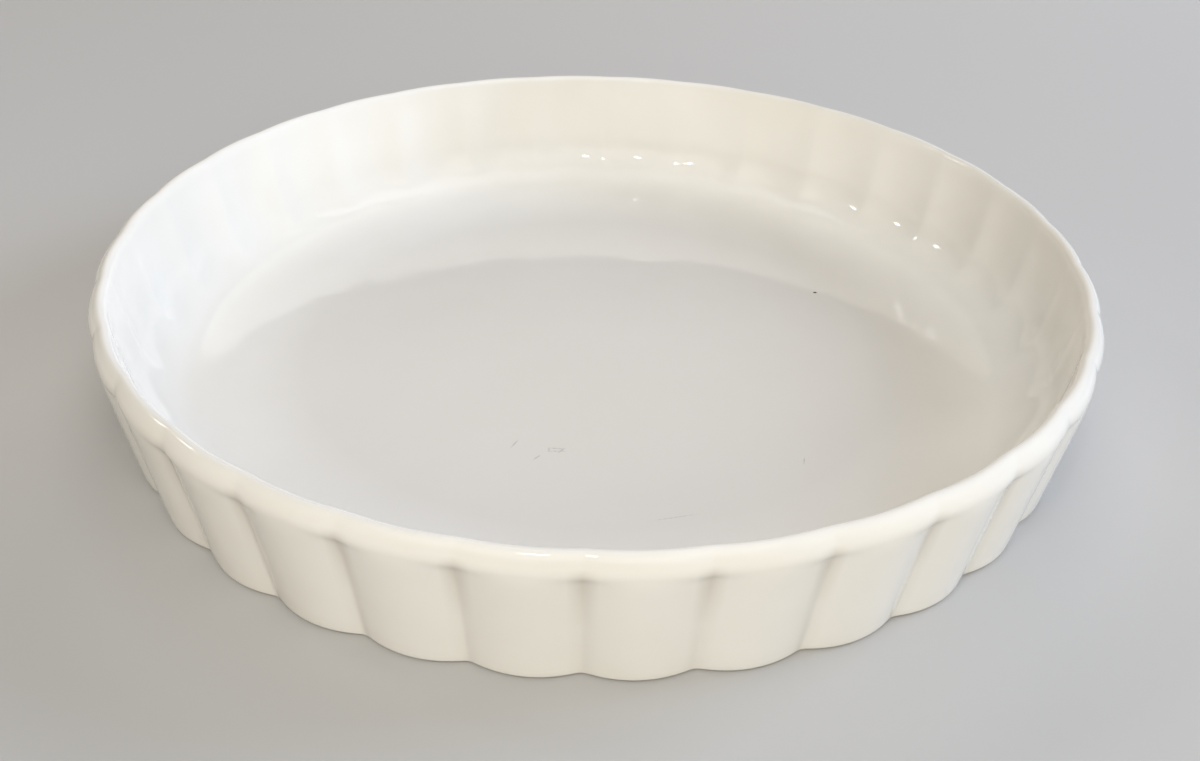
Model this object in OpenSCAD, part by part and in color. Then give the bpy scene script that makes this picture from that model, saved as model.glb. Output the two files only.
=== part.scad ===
// Round fluted quiche dish, pressed and glazed as one piece.
// +Z is up, and the origin is the centre of the foot, on the table.
// A revolve gives the section. Cutters in a ring take the grooves out of the outside of the wall
// and the soft hollows out of its inside.

/* [Dish] */
// Width over the lip
rim_d = 300; // [200:5:360]
// Width over the flutes where they meet the table, as if their lower edge were sharp
foot_d = 287.4; // [190:0.2:350]
// Height from the table to the top of the lip
height = 43; // [34:0.5:60]
// Thickness of the wall where a flute bulges most, measured level
wall_t = 5.6; // [4.6:0.1:8]
// Thickness of the floor
floor_t = 4.5; // [3:0.1:8]

/* [Flutes] */
// How many flutes go round the wall
flutes = 32; // [24:1:40]
// Depth of the grooves between the flutes, at the table
groove_depth = 3.4; // [2:0.1:4.5]
// How far the ridges between the inside hollows stand out, just above the cove
ridge_h = 1.3; // [0.8:0.1:1.8]
// How far the ridges still stand out at the lip
ridge_lip_h = 0.4; // [0.2:0.1:0.7]
// Share of a flute's width that the hollow behind it takes
hollow_share = 0.9; // [0.7:0.05:0.95]

/* [Lip] */
// Radius of the lip's outer shoulder
shoulder_r = 3.4; // [2.4:0.1:4.5]
// How far the lip dips in plan above each groove
lip_dip = 0.8; // [0.4:0.1:1.2]
// Radius of the sweep in which a groove runs out under the lip
runout_r = 6; // [4:0.5:10]

/* [Inside corner] */
// Radius of the cove between the floor and the wall
cove_r = 17; // [10:0.5:22]
// Height of the hollows' lower ends above the floor
hollow_rise = 1.2; // [0.8:0.1:2.5]

/* [Foot] */
// Width of the bare ring that the dish stands on, under a flute
foot_w = 9; // [6:0.5:14]
// Height of the recess inside that ring
foot_h = 2; // [1:0.1:4]
// Radius of the flutes' lower edge
foot_edge_r = 1.6; // [0.8:0.1:2.5]
// Radius of the corner inside the recess
recess_r = 0.9; // [0.5:0.1:1]

/* [Hidden] */
$fn = 96;
// Overshoot that keeps cutting solids clear of the faces they cut
past = 4;
// The plain wall keeps a strip along each bulge, which stands this far inside the flute's cone
strip = 0.05;
// A cutter stops this share of half a flute short of the next cutter
cutter_share = 0.97;
// The groove cutters' inner face lies this far inside the grooves, where it cuts nothing
inset = 1;

half_pitch = 180 / flutes;
rim_r = rim_d / 2;
foot_r = foot_d / 2;

// Centre of the lip's shoulder, level with the widest line of the rim
shoulder_z = height - shoulder_r;
lip_mid_r = rim_r - shoulder_r;
// The plain wall leans out from the foot until it touches the shoulder
lean_angle = atan2(lip_mid_r - foot_r, shoulder_z)
    + asin(shoulder_r / norm([lip_mid_r - foot_r, shoulder_z]));
lean = tan(lean_angle);
function wall_line(z) = foot_r + lean * z;

// Radius of a circle that passes through a bulge at r and, at angle on each side, through r - depth
function bulge_radius(r, depth, angle) =
    let(side = (r - depth) * sin(angle), sag = r - (r - depth) * cos(angle))
    (side * side + sag * sag) / (2 * sag);

// Every flute is an upright cone of radius flute_foot_r at the table, centred at flute_c
flute_foot_r = bulge_radius(foot_r + strip, groove_depth + strip, half_pitch);
flute_c = foot_r + strip - flute_foot_r;
// Distance from the axis to the line in which two neighbouring flutes meet
function groove_line(z) =
    flute_c * cos(half_pitch) + sqrt(pow(flute_foot_r + lean * z, 2) - pow(flute_c * sin(half_pitch), 2));

// A circle of radius rad above z_floor that touches a wall line leaning by angle through (r, z)
function corner_centre(rad, z_floor, r, z, angle) =
    r - (z - z_floor - rad) * tan(angle) - rad / cos(angle);

// The floor, and the line that the wall's inside follows in the hollows
floor_z = foot_h + floor_t;
function hollow_line(z) = wall_line(z) - wall_t;

// The lip's inner edge rounds from the shoulder's top line to the ridges
lip_inner_r = hollow_line(shoulder_z) - ridge_lip_h;
lip_edge_r = lip_mid_r - lip_inner_r;
lip_edge_z = height - lip_edge_r;

// The ridges run from the lip's inner edge down to where the cove takes over
cove_z = floor_z + cove_r;
ridge_low_r = hollow_line(cove_z) - ridge_h;
ridge_angle = atan((lip_inner_r - ridge_low_r) / (lip_edge_z - cove_z));
cove_c = corner_centre(cove_r, floor_z, lip_inner_r, lip_edge_z, ridge_angle);

// Each hollow is an upright cone too, with a cove of its own a little above the floor
hollow_cove_r = cove_r - 2 * hollow_rise;
hollow_cove_z = floor_z + hollow_rise + hollow_cove_r;
hollow_cove_c = corner_centre(hollow_cove_r, floor_z + hollow_rise, hollow_line(0), 0, lean_angle);
hollow_r = bulge_radius(hollow_line(cove_z), ridge_h, hollow_share * half_pitch) - lean * cove_z;

// Half plane shapes, drawn with x as the distance from the axis and y as the height.

// The whole section of the dish without grooves or hollows
module section() {
    difference() {
        blank();
        cavity();
        recess();
    }
}

// Everything under the lip's top line, out to the plain wall
module blank() {
    edge_c = corner_centre(foot_edge_r, 0, foot_r, 0, lean_angle);
    polygon([
        [0, 0],
        [edge_c, 0],
        [edge_c + foot_edge_r * cos(lean_angle), foot_edge_r - foot_edge_r * sin(lean_angle)],
        [lip_mid_r + shoulder_r * cos(lean_angle), shoulder_z - shoulder_r * sin(lean_angle)],
        [lip_mid_r, height],
        [0, height]
    ]);
    translate([edge_c, foot_edge_r]) circle(r = foot_edge_r);
    translate([lip_mid_r, shoulder_z]) circle(r = shoulder_r);
}

// What the dish holds: flat floor, cove, leaning wall, and the lip's inner edge
module cavity() {
    difference() {
        union() {
            polygon([
                [0, floor_z],
                [cove_c, floor_z],
                [cove_c + cove_r * cos(ridge_angle), cove_z - cove_r * sin(ridge_angle)],
                [lip_inner_r, lip_edge_z],
                [lip_mid_r, lip_edge_z],
                [lip_mid_r, height + past],
                [0, height + past]
            ]);
            translate([cove_c, cove_z]) circle(r = cove_r);
        }
        translate([lip_mid_r, lip_edge_z]) circle(r = lip_edge_r);
    }
}

// The recess inside the foot ring, with a rounded upper corner
module recess() {
    ring_r = foot_r - foot_w;
    polygon([
        [0, -past],
        [ring_r, -past],
        [ring_r, foot_h - recess_r],
        [ring_r - recess_r, foot_h],
        [0, foot_h]
    ]);
    translate([ring_r - recess_r, foot_h - recess_r]) circle(r = recess_r);
}

// What is left inside the groove cutters: a cone, a sweep that ends the grooves, and the lip's bead
module kept_section() {
    bead_c = lip_mid_r - lip_dip;
    face_r = groove_line(0) - inset;
    // How far the bead's centre lies inside the cone's face, and so where the sweep touches both
    bead_inset = (face_r - bead_c) * cos(lean_angle) + shoulder_z * sin(lean_angle);
    across = runout_r + bead_inset;
    along = sqrt(pow(shoulder_r + runout_r, 2) - across * across);
    sweep = [
        bead_c + across * cos(lean_angle) - along * sin(lean_angle),
        shoulder_z - across * sin(lean_angle) - along * cos(lean_angle)
    ];
    bead = [bead_c, shoulder_z];
    difference() {
        polygon([
            [0, -2 * past],
            [face_r - 2 * past * lean, -2 * past],
            sweep - runout_r * [cos(lean_angle), -sin(lean_angle)],
            sweep,
            bead + (sweep - bead) * shoulder_r / (shoulder_r + runout_r),
            bead,
            [bead_c, height + 2 * past],
            [0, height + 2 * past]
        ]);
        translate(sweep) circle(r = runout_r);
    }
    translate(bead) circle(r = shoulder_r);
}

// The ring that a groove cutter is a slice of
module groove_section() {
    inner_r = groove_line(0) - 3 * past;
    difference() {
        translate([inner_r, -past]) square([rim_r + past - inner_r, height + 2 * past]);
        kept_section();
    }
}

// The ring that a hollow cutter is a slice of, from a little above the floor up past the lip
module hollow_section() {
    low_z = floor_z + hollow_rise;
    polygon([
        [cove_c, low_z],
        [hollow_cove_c, low_z],
        [
            hollow_cove_c + hollow_cove_r * cos(lean_angle),
            hollow_cove_z - hollow_cove_r * sin(lean_angle)
        ],
        [hollow_line(hollow_cove_z) + past, hollow_cove_z],
        [hollow_line(height) + past, height + past],
        [cove_c, height + past]
    ]);
    translate([hollow_cove_c, hollow_cove_z]) circle(r = hollow_cove_r);
}

// A slice of a revolve, half a flute to each side of +X
module slice() {
    half = cutter_share * half_pitch;
    rotate([0, 0, -half]) rotate_extrude(angle = 2 * half) children();
}

// An upright cone that leans as the wall does and has the radius r at the table
module wall_cone(centre, r) {
    translate([centre, 0, -2 * past])
        cylinder(
            h = height + 4 * past,
            r1 = r - 2 * past * lean,
            r2 = r + (height + 2 * past) * lean
        );
}

// The groove between two flutes, on +X
module groove() {
    difference() {
        slice() groove_section();
        for (side = [-1, 1])
            rotate([0, 0, side * half_pitch]) wall_cone(flute_c, flute_foot_r);
    }
}

// The hollow behind one flute, on +X
module hollow() {
    intersection() {
        slice() hollow_section();
        wall_cone(hollow_line(0) - hollow_r, hollow_r);
    }
}

module dish() {
    color("#F1EEE6")
    difference() {
        rotate_extrude() section();
        for (i = [0 : flutes - 1]) {
            rotate([0, 0, (2 * i + 1) * half_pitch]) groove();
            rotate([0, 0, 2 * i * half_pitch]) hollow();
        }
    }
}

dish();
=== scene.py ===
# %% [markdown]
# # A fluted quiche dish in glazed porcelain
# The dish is one pressed piece: a flat floor, a cove, a leaning wall with flutes outside and soft
# hollows inside, and a thick round lip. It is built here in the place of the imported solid, and is
# then glazed, lit and photographed.

# %% Load the frame
import math

import bmesh
import bpy
from mathutils import Matrix, Vector


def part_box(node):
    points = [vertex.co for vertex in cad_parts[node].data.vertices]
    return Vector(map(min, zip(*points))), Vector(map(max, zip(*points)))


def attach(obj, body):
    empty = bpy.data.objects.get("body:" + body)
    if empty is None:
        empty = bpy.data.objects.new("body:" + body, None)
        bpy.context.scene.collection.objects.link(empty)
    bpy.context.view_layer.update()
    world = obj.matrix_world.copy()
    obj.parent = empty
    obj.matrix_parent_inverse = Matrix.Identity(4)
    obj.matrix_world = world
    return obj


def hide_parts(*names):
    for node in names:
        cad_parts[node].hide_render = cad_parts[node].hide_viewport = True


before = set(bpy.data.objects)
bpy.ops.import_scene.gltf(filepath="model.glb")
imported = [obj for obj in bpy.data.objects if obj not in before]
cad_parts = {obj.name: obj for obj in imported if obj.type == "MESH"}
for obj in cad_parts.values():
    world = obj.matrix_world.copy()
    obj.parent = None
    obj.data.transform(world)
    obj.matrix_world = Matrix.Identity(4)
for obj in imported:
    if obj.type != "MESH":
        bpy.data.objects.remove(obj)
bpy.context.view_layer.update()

dish_low, dish_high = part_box("dish")
print("packed dish, mm:", [round((b - a) * 1000, 1) for a, b in zip(dish_low, dish_high)])

# %% [markdown]
# ## Sizes
# These are in millimetres, as a potter's template would give them, and each one is turned into
# metres where it meets the mesh. Width, height, floor and cove are the solid's. The foot is a
# little narrower, the grooves a little shallower and the turn under the lip rounder, as the
# photograph shows them once the glaze has run: nowhere more than about a millimetre apart.

# %% Sizes of the dish, in mm
MM = 0.001
FLUTES = 32
HALF_PITCH = 180 / FLUTES
RIM_R, FOOT_R, HEIGHT = 150, 142.9, 43
FLOOR_Z, RECESS_Z = 6.5, 2.0
GROOVE_DEPTH = 3.0
LIP_W, LIP_EDGE_R = 5.4, 2.0
SHOULDER_R, SHOULDER_Z, BELLY_R = 6.0, 37.96, 25.0
WALL_LEAN, INSIDE_LEAN = 11.31, 9.6
FOOT_EDGE_R = 1.6
COVE_R, COVE_MID_R, COVE_Z = 17, 123.2, 23.5
HOLLOW_COVE_R, HOLLOW_COVE_MID_R, HOLLOW_COVE_Z = 14.6, 126.9, 22.3
print("flutes:", FLUTES, "each", round(2 * math.pi * RIM_R / FLUTES, 1), "mm wide at the lip")

# %% [markdown]
# ## One flute's slice of the cage
# A potter would turn the section on a wheel and press the flutes with a mould. In Blender the same
# thing can be a short row of points that is extruded up the wall, over the lip and down to the
# floor, with the grooves drawn in towards the axis as it goes. That gives one flute's slice of the
# dish, which is then spun into a whole ring of them. Subdivision rounds the cage, so only a few
# rows are needed where the wall is straight, and more where it turns.
#
# Each half flute has four upright lines: the groove itself, its edge, the flute's side and its
# bulge. Their angles are measured from the groove. Evenly spread lines would leave the groove
# blunt, so the edge stands close to it.

# %% The lines of one flute
LINE_ANGLES = {"groove": 0.0, "edge": 0.9, "side": 3.0, "bulge": HALF_PITCH}
LINES_PER_FLUTE = 6
EVEN_STEP = 2 * HALF_PITCH / LINES_PER_FLUTE


def angle_off_groove(point):
    """Degrees between a point and the nearest groove, about the dish's axis."""
    return HALF_PITCH - abs(math.degrees(math.atan2(point.y, point.x)))


def line_kind(point):
    """Which kind of line a cage point lies on."""
    off = angle_off_groove(point)
    return min(LINE_ANGLES, key=lambda kind: abs(LINE_ANGLES[kind] - off))


# %% [markdown]
# Selecting by hand is done with the mouse. In a script, a point is picked by where it is, and
# everything else is deselected first.

# %% Pick points in edit mode
def cage_points():
    """The points of the mesh that is being edited, fetched afresh after every operator."""
    cage = bmesh.from_edit_mesh(bpy.context.edit_object.data)
    cage.verts.ensure_lookup_table()
    return cage.verts


def pick(indices):
    """Selects the points with these numbers, and the edges and faces between them."""
    bpy.ops.mesh.select_all(action="DESELECT")
    cage = bmesh.from_edit_mesh(bpy.context.edit_object.data)
    cage.verts.ensure_lookup_table()
    for index in indices:
        cage.verts[index].select = True
    cage.select_flush(True)
    bmesh.update_edit_mesh(bpy.context.edit_object.data)


def picked():
    """The numbers of the selected points."""
    return [point.index for point in cage_points() if point.select]


# %% [markdown]
# The first row is cut out of a circle with six points to a flute, on the edge of the recess under
# the dish. The points near each groove are then turned towards it.

# %% Start on the edge of the recess
RECESS_R = 132.4
bpy.ops.object.select_all(action="DESELECT")
bpy.ops.mesh.primitive_circle_add(
    vertices=FLUTES * LINES_PER_FLUTE, radius=RECESS_R * MM, location=(0, 0, RECESS_Z * MM)
)
dish = bpy.context.object
dish.name = dish.data.name = "fluted_dish"
bpy.ops.object.transform_apply(location=True, rotation=True, scale=True)
bpy.ops.object.mode_set(mode="EDIT")
bpy.ops.mesh.select_mode(type="VERT")
pick([point.index for point in cage_points() if angle_off_groove(point.co) < -0.1])
bpy.ops.mesh.delete(type="VERT")


def turn_points(start_off, new_off, side):
    """Turns the point at start_off degrees from the groove on one side to new_off degrees."""
    pick(
        [
            point.index
            for point in cage_points()
            if abs(angle_off_groove(point.co) - start_off) < 0.2 and side * point.co.y > 0
        ]
    )
    # With no window, the rotate operator turns clockwise for a positive angle about +Z
    bpy.ops.transform.rotate(
        value=math.radians(side * (new_off - start_off)),
        orient_axis="Z",
        center_override=(0, 0, RECESS_Z * MM),
    )


for side in (-1, 1):
    turn_points(EVEN_STEP, LINE_ANGLES["edge"], side)
    turn_points(2 * EVEN_STEP, LINE_ANGLES["side"], side)
line_angles = [round(angle_off_groove(point.co), 2) for point in cage_points()]
print("lines at", line_angles, "degrees from a groove")

# %% [markdown]
# A flute is an arc of a circle, so its lines fall away with the square of their distance from the
# bulge. Subdivision draws a cage in by a third of what its neighbours fall away, so the cage stands
# a little proud of the shape wanted. The shares below say how far each line goes from the bulge's
# radius, at 0, to the groove's radius, at 1, with that allowed for. The outside grooves are creased
# and need no allowance of their own. The lip's dips and the ridges inside are soft.

# %% How the lines share out a groove, a dip and a ridge
FLUTE = {"groove": 1.0, "edge": 0.682, "side": 0.154, "bulge": -0.077}
DIP = {"groove": 1.184, "edge": 0.633, "side": 0.168, "bulge": -0.084}
RIDGE = {"groove": 1.054, "edge": 0.893, "side": 0.175, "bulge": -0.088}


def next_row(height, bulge_r, groove_r, shares=DIP):
    """Extrudes the open edge to a row at this height, with each kind of line at its radius."""
    bpy.ops.mesh.extrude_region_move()
    row = picked()
    rise = height * MM - cage_points()[row[0]].co.z
    bpy.ops.transform.translate(value=(0, 0, rise))
    for kind, share in shares.items():
        points = cage_points()
        line = [index for index in row if line_kind(points[index].co) == kind]
        now = points[line[0]].co.xy.length
        wanted = (bulge_r + share * (groove_r - bulge_r)) * MM
        pick(line)
        bpy.ops.transform.resize(value=(wanted / now, wanted / now, 1), center_override=(0, 0, 0))
    pick(row)


def cage_radius(radius, step):
    """The radius of a cage whose subdivided form is an arc of this radius, in steps of degrees."""
    return radius * 3 / (2 + math.cos(math.radians(step)))


def on_arc(mid_r, mid_z, arc_r, angle):
    """Radius and height of the place at this angle above level on an arc round mid_r and mid_z."""
    turn = math.radians(angle)
    return mid_r + arc_r * math.cos(turn), mid_z + arc_r * math.sin(turn)


# %% [markdown]
# ## Underneath
# The dish stands on a flat bare ring, where it stood in the kiln, and the base inside the ring is
# a little higher. The ring's outer edge follows the flutes.

# %% Recess, foot ring and the flutes' lower edge
RECESS_ROWS = ((1.85, 134.3), (0.35, 134.75), (0.0, 135.3))
pick(range(LINES_PER_FLUTE + 1))
for height, radius in RECESS_ROWS:
    next_row(height, radius, radius)
WALL_RUN = math.tan(math.radians(WALL_LEAN))
FOOT_EDGE_MID_R = FOOT_R + FOOT_EDGE_R * (WALL_RUN - 1 / math.cos(math.radians(WALL_LEAN)))
FOOT_FLAT_R = FOOT_EDGE_MID_R - 0.3
next_row(0.0, FOOT_FLAT_R, FOOT_FLAT_R - GROOVE_DEPTH, FLUTE)
foot_cage_r = cage_radius(FOOT_EDGE_R, 27)
for angle in (-63, -36, -9):
    edge_r, height = on_arc(FOOT_EDGE_MID_R, FOOT_EDGE_R, foot_cage_r, angle)
    next_row(height, edge_r, edge_r - GROOVE_DEPTH, FLUTE)
print("points after the foot:", len(cage_points()))

# %% [markdown]
# ## The fluted wall
# The wall leans out by eleven degrees. The grooves keep almost their full depth to 35 mm, and then
# run out under the lip in a short steep ramp, which gives the small pointed shadow at the head of
# each one. Near the top the flutes bend into the lip's shoulder in a long soft turn.

# %% Up the wall
def wall_line(height):
    """Radius of the plain wall at this height."""
    return FOOT_R + WALL_RUN * height


# Height of each row and depth of the grooves there
WALL_ROWS = ((12, 2.75), (22, 2.6), (30, 2.45))
BELLY_ROWS = ((33.2, 2.35), (35.3, 2.1), (36.8, 1.1))
for height, depth in WALL_ROWS:
    next_row(height, wall_line(height), wall_line(height) - depth, FLUTE)
for height, depth in BELLY_ROWS:
    belly = RIM_R - BELLY_R + math.sqrt(BELLY_R**2 - (height - SHOULDER_Z) ** 2)
    next_row(height, belly, belly - depth, FLUTE)
print("points after the wall:", len(cage_points()))

# %% [markdown]
# ## The lip
# The lip's outer shoulder is broad and its inner edge tight. In plan the lip dips above each groove
# by less than a millimetre outside, and by less again inside, so it looks wavy from above.

# %% Over the lip
# Angle of each row round its arc and depth of the lip's dips there
SHOULDER_ROWS = ((2, 0.85), (19, 0.8), (35, 0.7), (50, 0.6))
EDGE_ROWS = ((88, 0.55), (130, 0.5), (170, 0.45))
shoulder_cage_r = cage_radius(SHOULDER_R, 17)
for angle, dip in SHOULDER_ROWS:
    radius, height = on_arc(RIM_R - SHOULDER_R, SHOULDER_Z, shoulder_cage_r, angle)
    next_row(height, radius, radius - dip)
edge_cage_r = cage_radius(LIP_EDGE_R, 40)
for angle, dip in EDGE_ROWS:
    radius, height = on_arc(RIM_R - LIP_W + LIP_EDGE_R, HEIGHT - LIP_EDGE_R, edge_cage_r, angle)
    next_row(height, radius, radius - dip, RIDGE)
print("points after the lip:", len(cage_points()))

# %% [markdown]
# ## Inside the dish
# Behind each flute the inside wall is a soft hollow, with a low ridge behind each groove. The
# ridges are strongest just above the cove, and fade towards the lip and the floor.

# %% Down the inside, round the cove and onto the floor
HOLLOW_TOP_R, HOLLOW_TOP_Z = 144.27, 36.5
INSIDE_RUN = math.tan(math.radians(INSIDE_LEAN))
# Height of each row and how far the ridges stand out there
INSIDE_ROWS = ((HOLLOW_TOP_Z, 0.65), (29, 1.1))
for height, ridge in INSIDE_ROWS:
    hollow_r = HOLLOW_TOP_R + INSIDE_RUN * (height - HOLLOW_TOP_Z)
    next_row(height, hollow_r, hollow_r - ridge, RIDGE)
cove_cage_r = cage_radius(COVE_R, 13)
for angle in (-11.6, -24.7, -37.8, -50.8, -63.9, -77):
    ridge_r, height = on_arc(COVE_MID_R, COVE_Z, cove_cage_r, angle)
    reach = HOLLOW_COVE_R**2 - (HOLLOW_COVE_Z - height) ** 2
    hollow_r = max(ridge_r, HOLLOW_COVE_MID_R + math.sqrt(max(reach, 0)))
    next_row(height, hollow_r, ridge_r, RIDGE)
for radius in (COVE_MID_R, COVE_MID_R - 6):
    next_row(FLOOR_Z, radius, radius)
print("points in the slice:", len(cage_points()))

# %% [markdown]
# ## Crisp grooves
# The grooves are narrow and crisp although the glaze has run into them. A crease along each groove
# keeps it tight through the first round of subdivision, and the second rounds it a little.

# %% Crease the grooves outside
CREASE_LOW, CREASE_HIGH = 0.3, 35
CREASE_DEPTH, CREASE = 4.2, 0.33
groove_points = [
    point.index
    for point in cage_points()
    if line_kind(point.co) == "groove"
    and CREASE_LOW < point.co.z / MM < CREASE_HIGH
    and point.co.xy.length > (wall_line(point.co.z / MM) - CREASE_DEPTH) * MM
]
pick(groove_points)
bpy.ops.transform.edge_crease(value=CREASE)
print("creased groove points:", len(groove_points))

# %% [markdown]
# ## All the flutes
# Spin makes the other flutes as copies of the slice. Where two slices meet, their points fall on
# each other and are merged.

# %% Spin the slice and merge the seams
bpy.ops.mesh.select_all(action="SELECT")
bpy.ops.mesh.spin(
    steps=FLUTES, dupli=True, angle=math.radians(360), center=(0, 0, 0), axis=(0, 0, 1)
)
bpy.ops.mesh.select_all(action="SELECT")
bpy.ops.mesh.remove_doubles(threshold=0.005 * MM)
print("points in the whole cage:", len(cage_points()))
bpy.ops.object.mode_set(mode="OBJECT")

# %% [markdown]
# The cage is subdivided while the floor and the recess are still open, because a point or a face
# with hundreds of edges round it subdivides badly and very slowly. Both are flat, so one face each
# closes them afterwards.

# %% Subdivide, then close the floor and the recess
smoothing = dish.modifiers.new("smoothing", "SUBSURF")
smoothing.levels = smoothing.render_levels = 2
bpy.ops.object.modifier_apply(modifier="smoothing")
bpy.ops.object.mode_set(mode="EDIT")
for flat_z in (RECESS_Z, FLOOR_Z):
    bpy.ops.mesh.select_all(action="DESELECT")
    bpy.ops.mesh.select_non_manifold(extend=False)
    pick([index for index in picked() if abs(cage_points()[index].co.z / MM - flat_z) < 0.01])
    print("points round the opening:", len(picked()))
    bpy.ops.mesh.edge_face_add()
bpy.ops.mesh.select_all(action="SELECT")
bpy.ops.mesh.normals_make_consistent(inside=False)
bpy.ops.object.mode_set(mode="OBJECT")
bpy.ops.object.shade_smooth()
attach(dish, "root")
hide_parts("dish")
print("dish triangles:", sum(len(face.vertices) - 2 for face in dish.data.polygons))

# %% [markdown]
# ## The glaze
# The glaze is a warm white, glossy all over. On a real dish it pools a little in the grooves and
# hollows, so its tone drifts in faint clouds, and its surface is never quite flat, so reflections
# waver. Noise in the object's own coordinates gives both, and stays on the dish from every side.

# %% Start the glaze
glaze = bpy.data.materials.new("warm_white_glaze")
glaze.use_nodes = True
nodes, links = glaze.node_tree.nodes, glaze.node_tree.links
shader = nodes["Principled BSDF"]
shader.inputs["IOR"].default_value = 1.52
place_on_dish = nodes.new("ShaderNodeTexCoord").outputs["Object"]


def noise(scale, detail):
    """A noise texture with this many lumps to the metre."""
    node = nodes.new("ShaderNodeTexNoise")
    node.inputs["Scale"].default_value = scale
    node.inputs["Detail"].default_value = detail
    links.new(place_on_dish, node.inputs["Vector"])
    return node.outputs["Fac"]


def spread(value, low, high, to_low, to_high):
    """Maps low to high onto to_low to to_high, and holds it there beyond."""
    node = nodes.new("ShaderNodeMapRange")
    limits = {"From Min": low, "From Max": high, "To Min": to_low, "To Max": to_high}
    for name, number in limits.items():
        node.inputs[name].default_value = number
    links.new(value, node.inputs["Value"])
    return node.outputs["Result"]


def blend(share, first, second):
    """Mixes two colours, each a colour or another node's output."""
    node = nodes.new("ShaderNodeMix")
    node.data_type = "RGBA"
    links.new(share, node.inputs["Factor"])
    for socket, colour in (("A", first), ("B", second)):
        target = [s for s in node.inputs if s.name == socket and s.type == "RGBA"][0]
        if isinstance(colour, tuple):
            target.default_value = (*colour, 1)
        else:
            links.new(colour, target)
    return [s for s in node.outputs if s.type == "RGBA"][0]


def combine(operation, first, second=0):
    """One sum in a Math node, of numbers or of other nodes' outputs."""
    node = nodes.new("ShaderNodeMath")
    node.operation = operation
    for socket, value in zip(node.inputs, (first, second)):
        if isinstance(value, (int, float)):
            socket.default_value = value
        else:
            links.new(value, socket)
    return node.outputs["Value"]


def times(first, *others):
    """Multiplies two values or more."""
    for other in others:
        first = combine("MULTIPLY", first, other)
    return first


def length(vector):
    """The length of a vector."""
    node = nodes.new("ShaderNodeVectorMath")
    node.operation = "LENGTH"
    links.new(vector, node.inputs[0])
    return node.outputs["Value"]


# %% [markdown]
# The clouds are broad and very faint. Small iron spots in the clay show through fired glaze as pin
# pricks, and a few are enough.

# %% Tone of the glaze
WHITE, CREAM = (0.83, 0.82, 0.79), (0.79, 0.775, 0.73)
IRON_BROWN = (0.42, 0.34, 0.25)
clouds = spread(noise(16, 3), 0.35, 0.68, 0, 1)
tone = blend(clouds, WHITE, CREAM)
pin_pricks = spread(noise(900, 1), 0.845, 0.87, 0, 0.5)
tone = blend(pin_pricks, tone, IRON_BROWN)
print("glaze between", WHITE, "and", CREAM)

# %% [markdown]
# Painted shade greys the grooves outside a little, most of all at the pointed head of each one,
# where the lip's shadow falls. Three measures place it: the height, the distance
# from the axis, and the angle round the axis, folded into one flute so that one rule serves all.

# %% Places on the dish
split = nodes.new("ShaderNodeSeparateXYZ")
links.new(place_on_dish, split.inputs["Vector"])
x_on_dish, y_on_dish, height_on_dish = split.outputs
flat = nodes.new("ShaderNodeCombineXYZ")
links.new(x_on_dish, flat.inputs["X"])
links.new(y_on_dish, flat.inputs["Y"])
axis_distance = length(flat.outputs["Vector"])
flutes_round = times(combine("ARCTAN2", y_on_dish, x_on_dish), FLUTES / math.tau)
# In flutes: 0 in a groove, half a flute at a bulge
off_groove = combine("ABSOLUTE", combine("SUBTRACT", combine("FRACT", flutes_round), 0.5))
print("places measured by", len(nodes), "nodes")

# %% [markdown]
# The outside is told from the inside by the leaning line that runs up between them. The painted
# shade fades out below the heads of the grooves, and stops on the lip.

# %% Painted shade in the grooves
GROOVE_SHADE_GREY = (0.60, 0.56, 0.50)
GROOVE_SHADE_SHARE, GROOVE_SHADE_LOW_SHARE = 0.75, 0.22
GROOVE_SHADE_WIDTH = 0.13
MIDLINE_RUN, MIDLINE_R = 0.2, 139.1
beyond_midline = combine("SUBTRACT", axis_distance, times(height_on_dish, MIDLINE_RUN))
outside = spread(beyond_midline, (MIDLINE_R - 0.5) * MM, (MIDLINE_R + 0.5) * MM, 0, 1)
along_groove = times(
    spread(height_on_dish, 36.5 * MM, 40.0 * MM, 1, 0),
    spread(height_on_dish, 18 * MM, 35.5 * MM, GROOVE_SHADE_LOW_SHARE, 1),
)
groove_shade = times(spread(off_groove, 0.0, GROOVE_SHADE_WIDTH, GROOVE_SHADE_SHARE, 0), outside, along_groove)
# Painted shade: the colour in the grooves outside is darkened towards grey, where their shade
# falls.
tone = blend(groove_shade, tone, GROOVE_SHADE_GREY)
print("grooves shaded:", FLUTES)

# %% [markdown]
# ## Marks of use
# Knives and washing have greyed the whole floor a little, out to the cove. The wear and the marks
# after it are held to the height of the floor, so that nothing shows underneath.

# %% The worn floor
WORN_GREY, WORN_SHARE = (0.665, 0.645, 0.615), 0.75
on_floor = times(
    spread(height_on_dish, (FLOOR_Z - 1.0) * MM, (FLOOR_Z - 0.5) * MM, 0, 1),
    spread(height_on_dish, (FLOOR_Z + 1.0) * MM, (FLOOR_Z + 1.5) * MM, 1, 0),
)
worn = times(spread(axis_distance, 92 * MM, 124 * MM, WORN_SHARE, 0), on_floor)
tone = blend(worn, tone, WORN_GREY)
print("the floor wears", WORN_SHARE, "of the way to", WORN_GREY)

# %% [markdown]
# A few marks lie on the floor: a dark speck near the cove, short grey scratches left by a knife, a
# patch where several cross, and one long faint line. Each is an ellipse round its own centre,
# measured with a Mapping node that moves and turns the coordinates, and noise breaks up its edge.

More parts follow.
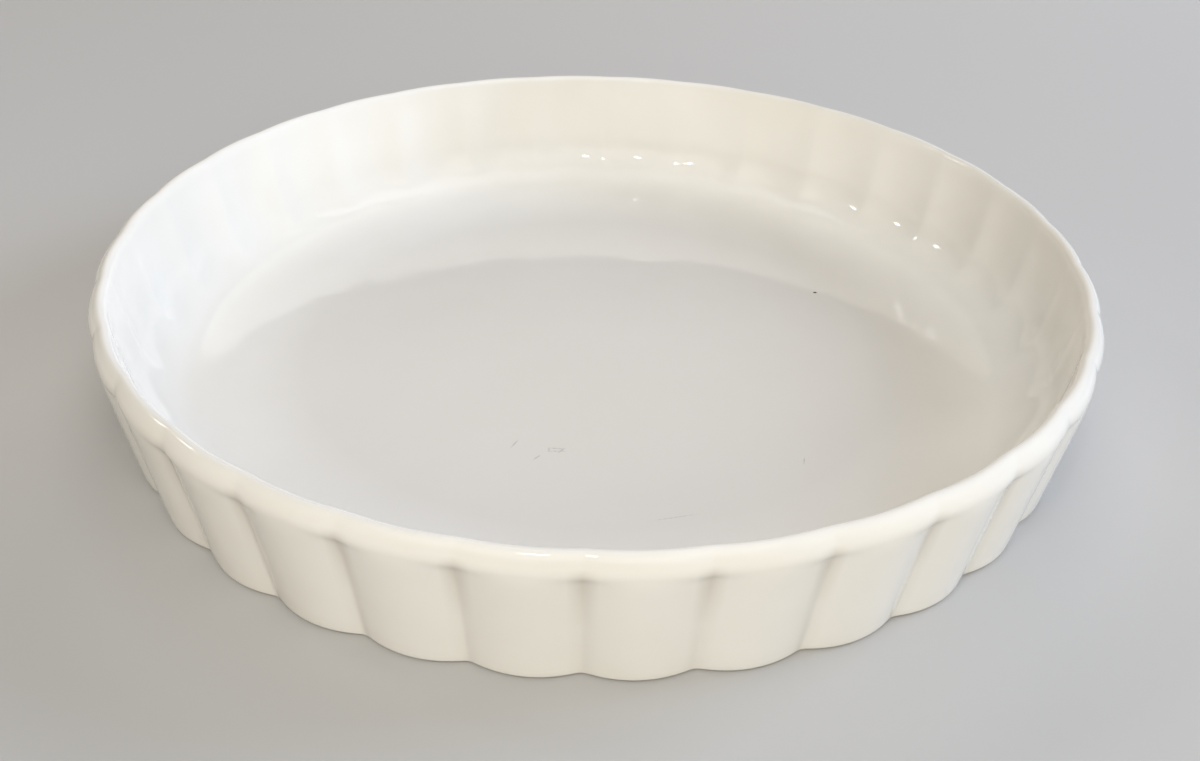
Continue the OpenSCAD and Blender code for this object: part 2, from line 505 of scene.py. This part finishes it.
# %% Marks on the floor
def floor_mark(x, y, mark_length, width, turn):
    """How much of a mark covers each place: 1 inside the ellipse, fading to 0 at its edge."""
    node = nodes.new("ShaderNodeMapping")
    node.vector_type = "TEXTURE"
    node.inputs["Location"].default_value = (x * MM, y * MM, FLOOR_Z * MM)
    node.inputs["Rotation"].default_value = (0, 0, math.radians(turn))
    node.inputs["Scale"].default_value = (mark_length / 2 * MM, width / 2 * MM, 1)
    links.new(place_on_dish, node.inputs["Vector"])
    return spread(length(node.outputs["Vector"]), 0.55, 1.1, 1, 0)


KNIFE_GREY, SPECK_BROWN = (0.20, 0.19, 0.19), (0.05, 0.05, 0.03)
# Place, length and width in mm, turn in degrees, and strength
SCRATCHES = (
    (-16.8, -55.7, 5.2, 0.5, 71, 0.5),
    (-9.4, -61.5, 3.4, 0.5, 56, 0.45),
    (-4.4, -57.6, 5.8, 0.6, 8, 0.4),
    (-4.2, -56.2, 5.4, 0.6, 5, 0.4),
    (-3.0, -57.0, 3.4, 0.7, 60, 0.4),
    (-6.6, -57.2, 2.4, 0.7, 100, 0.4),
    (31.8, -83.2, 13.8, 0.45, 22, 0.3),
    (66.2, -51.5, 4.0, 0.5, 88, 0.35),
)
SPECK = (69.7, 49.6, 1.5, 1.2, 20)
marks = 0
for *ellipse, strength in SCRATCHES:
    marks = combine("MAXIMUM", marks, times(floor_mark(*ellipse), strength))
broken = spread(noise(1400, 2), 0.42, 0.58, 0.35, 1)
marks = times(marks, broken, on_floor)
tone = blend(marks, tone, KNIFE_GREY)
tone = blend(times(floor_mark(*SPECK), on_floor), tone, SPECK_BROWN)
print("marks on the floor:", len(SCRATCHES) + 1)

# %% [markdown]
# ## The bare foot
# Glaze would stick the dish to the kiln shelf, so the ring it stands on is wiped bare. Under it the
# clay is matt and a little darker than the glaze.

# %% Bare clay under the foot ring
bare = spread(height_on_dish, 0.25 * MM, 0.7 * MM, 1, 0)
CLAY_LIGHT, CLAY_DARK = (0.66, 0.62, 0.55), (0.55, 0.51, 0.44)
CLAY_ROUGHNESS, SCRATCH_ROUGHNESS = 0.8, 0.35
clay = blend(spread(noise(700, 4), 0.3, 0.7, 0, 1), CLAY_LIGHT, CLAY_DARK)
links.new(blend(bare, tone, clay), shader.inputs["Base Color"])
roughness = spread(noise(60, 3), 0.3, 0.7, 0.045, 0.09)
roughness = combine("ADD", roughness, times(marks, SCRATCH_ROUGHNESS))
roughness = combine("MAXIMUM", roughness, times(bare, CLAY_ROUGHNESS))
links.new(roughness, shader.inputs["Roughness"])
print("bare clay is", CLAY_ROUGHNESS, "rough")

# %% [markdown]
# Three bumps follow: a slight rise of the floor's middle, which moves the wall's mirror image on
# the floor, a slow wave, a few centimetres across, for the wavering of reflections, and a fine one,
# a few millimetres across, for the skin of the glaze. They show only in reflections.

# %% The glaze's own relief
def bump(distance, height, below=None):
    """A bump of this many millimetres, on top of the one below it."""
    node = nodes.new("ShaderNodeBump")
    node.inputs["Distance"].default_value = distance * MM
    links.new(height, node.inputs["Height"])
    if below:
        links.new(below, node.inputs["Normal"])
    return node.outputs["Normal"]


middle = spread(axis_distance, 0, 120 * MM, 1, 0)
middle.node.interpolation_type = "SMOOTHSTEP"
relief = bump(2.6, times(middle, on_floor))
relief = bump(0.3, noise(45, 1), relief)
relief = bump(0.015, noise(330, 2), relief)
links.new(relief, shader.inputs["Normal"])
dish.data.materials.append(glaze)
print("glaze nodes:", len(nodes))

# %% [markdown]
# ## Studio
# The dish stands on plain pale paper, six metres wide, that fills the photographer's view and the
# view from above.

# %% Floor
bpy.ops.object.select_all(action="DESELECT")
bpy.ops.mesh.primitive_plane_add(size=6, location=(0, 0, -0.05 * MM))
floor = bpy.context.object
floor.name = "studio_floor"
bpy.ops.object.transform_apply(location=True)
paper = bpy.data.materials.new("pale_paper")
paper.use_nodes = True
paper_shader = paper.node_tree.nodes["Principled BSDF"]
paper_shader.inputs["Base Color"].default_value = (0.5, 0.5, 0.5, 1)
paper_shader.inputs["Roughness"].default_value = 0.8
floor.data.materials.append(paper)
print("floor of the studio:", floor.name)

# %% [markdown]
# A white glossy dish shows its shape by how its light falls off. A broad lamp high in front gives
# most of the light, and a smaller one high behind picks out the top of the lip. Cool light from
# the right brightens the inside of the left wall and models the flutes, and warm light from the
# left, the front and behind keeps the shadows creamy. Those fills are kept out of the glaze's
# reflections, so that it mirrors only the two high lamps and a few sparks from two small ones.

# %% Lamps
WORLD_STRENGTH = 0.06
world = bpy.data.worlds.new("studio")
bpy.context.scene.world = world
world.use_nodes = True
background = world.node_tree.nodes["Background"]
background.inputs["Color"].default_value = (1, 1, 1, 1)
background.inputs["Strength"].default_value = WORLD_STRENGTH


def soft_lamp(name, azimuth, elevation, distance, size, power, colour=(1, 1, 1), mirrored=True):
    """A square soft box, seen from the dish at azimuth from +X and elevation, in degrees."""
    lamp = bpy.data.lights.new(name, "AREA")
    lamp.shape, lamp.size, lamp.energy, lamp.color = "SQUARE", size, power, colour
    thing = bpy.data.objects.new(name, lamp)
    bpy.context.scene.collection.objects.link(thing)
    turn, rise = math.radians(azimuth), math.radians(elevation)
    place = distance * Vector(
        (math.cos(turn) * math.cos(rise), math.sin(turn) * math.cos(rise), math.sin(rise))
    )
    facing = (-place).to_track_quat("-Z", "Y").to_matrix().to_4x4()
    thing.matrix_world = Matrix.Translation(place) @ facing
    thing.visible_glossy = mirrored
    return thing


# Azimuth, elevation, distance in m, size in m and power in W
LAMPS = {
    "high_front": (270, 62, 1.6, 1.8, 9.4),
    "high_back": (90, 70, 1.4, 0.7, 2.0),
    "front_spark": (264, 60, 1.5, 0.14, 1.3),
    "left_spark": (165, 40, 1.5, 0.14, 1.0),
}
FILLS = {
    "front_fill": (270, 38, 1.6, 1.2, 9.0, (1.0, 0.91, 0.76)),
    "right_fill": (24, 22, 1.8, 0.9, 26.5, (0.68, 0.79, 1.0)),
    "front_right_fill": (298, 15, 1.8, 0.8, 10.6, (1.0, 0.95, 0.82)),
    "left_fill": (190, 15, 1.8, 0.8, 3.0, (1.0, 0.76, 0.42)),
    "back_fill": (90, 18, 1.8, 0.9, 15.0, (1.0, 0.85, 0.68)),
}
for name, settings in LAMPS.items():
    soft_lamp(name, *settings)
for name, settings in FILLS.items():
    soft_lamp(name, *settings, mirrored=False)
print("lamps:", len(LAMPS), "and fills:", len(FILLS))

# %% [markdown]
# ## Camera
# The camera stands where the photographer did, a little under half a metre from the dish, looking
# down on it by about thirty degrees. Its place, turn and lens come from fitting the dish's outline
# and the feet of its grooves, and the picture is rolled slightly, as a hand-held one is.

# %% Camera
# Turn in degrees, then elevation and roll in radians
CAMERA_TURN = math.radians(6.257)
ELEVATION, ROLL = 0.5557, 0.0283
DISTANCE = 465.84 * MM
AIM = Vector((1.47 * MM, -8.15 * MM, 0))
PICTURE_W, LENS_IN_PIXELS, SENSOR_W = 1200, 1447.5, 36
place = Vector((0, -math.cos(ELEVATION), math.sin(ELEVATION))) * DISTANCE
ahead = (AIM - place).normalized()
right = ahead.cross(Vector((0, 0, 1))).normalized()
up = right.cross(ahead)
rolled_right = right * math.cos(ROLL) + up * math.sin(ROLL)
rolled_up = up * math.cos(ROLL) - right * math.sin(ROLL)
turned = Matrix((rolled_right, rolled_up, -ahead)).transposed().to_4x4()
turned.translation = place
lens = bpy.data.cameras.new("camera")
lens.sensor_width = SENSOR_W
lens.lens = LENS_IN_PIXELS / PICTURE_W * SENSOR_W
camera = bpy.data.objects.new("camera", lens)
bpy.context.scene.collection.objects.link(camera)
camera.matrix_world = Matrix.Rotation(CAMERA_TURN, 4, "Z") @ turned
bpy.context.scene.camera = camera
print("lens, mm:", round(lens.lens, 1))

# %% [markdown]
# ## Finish

# %% Finish
bpy.context.scene.view_settings.view_transform = "Standard"
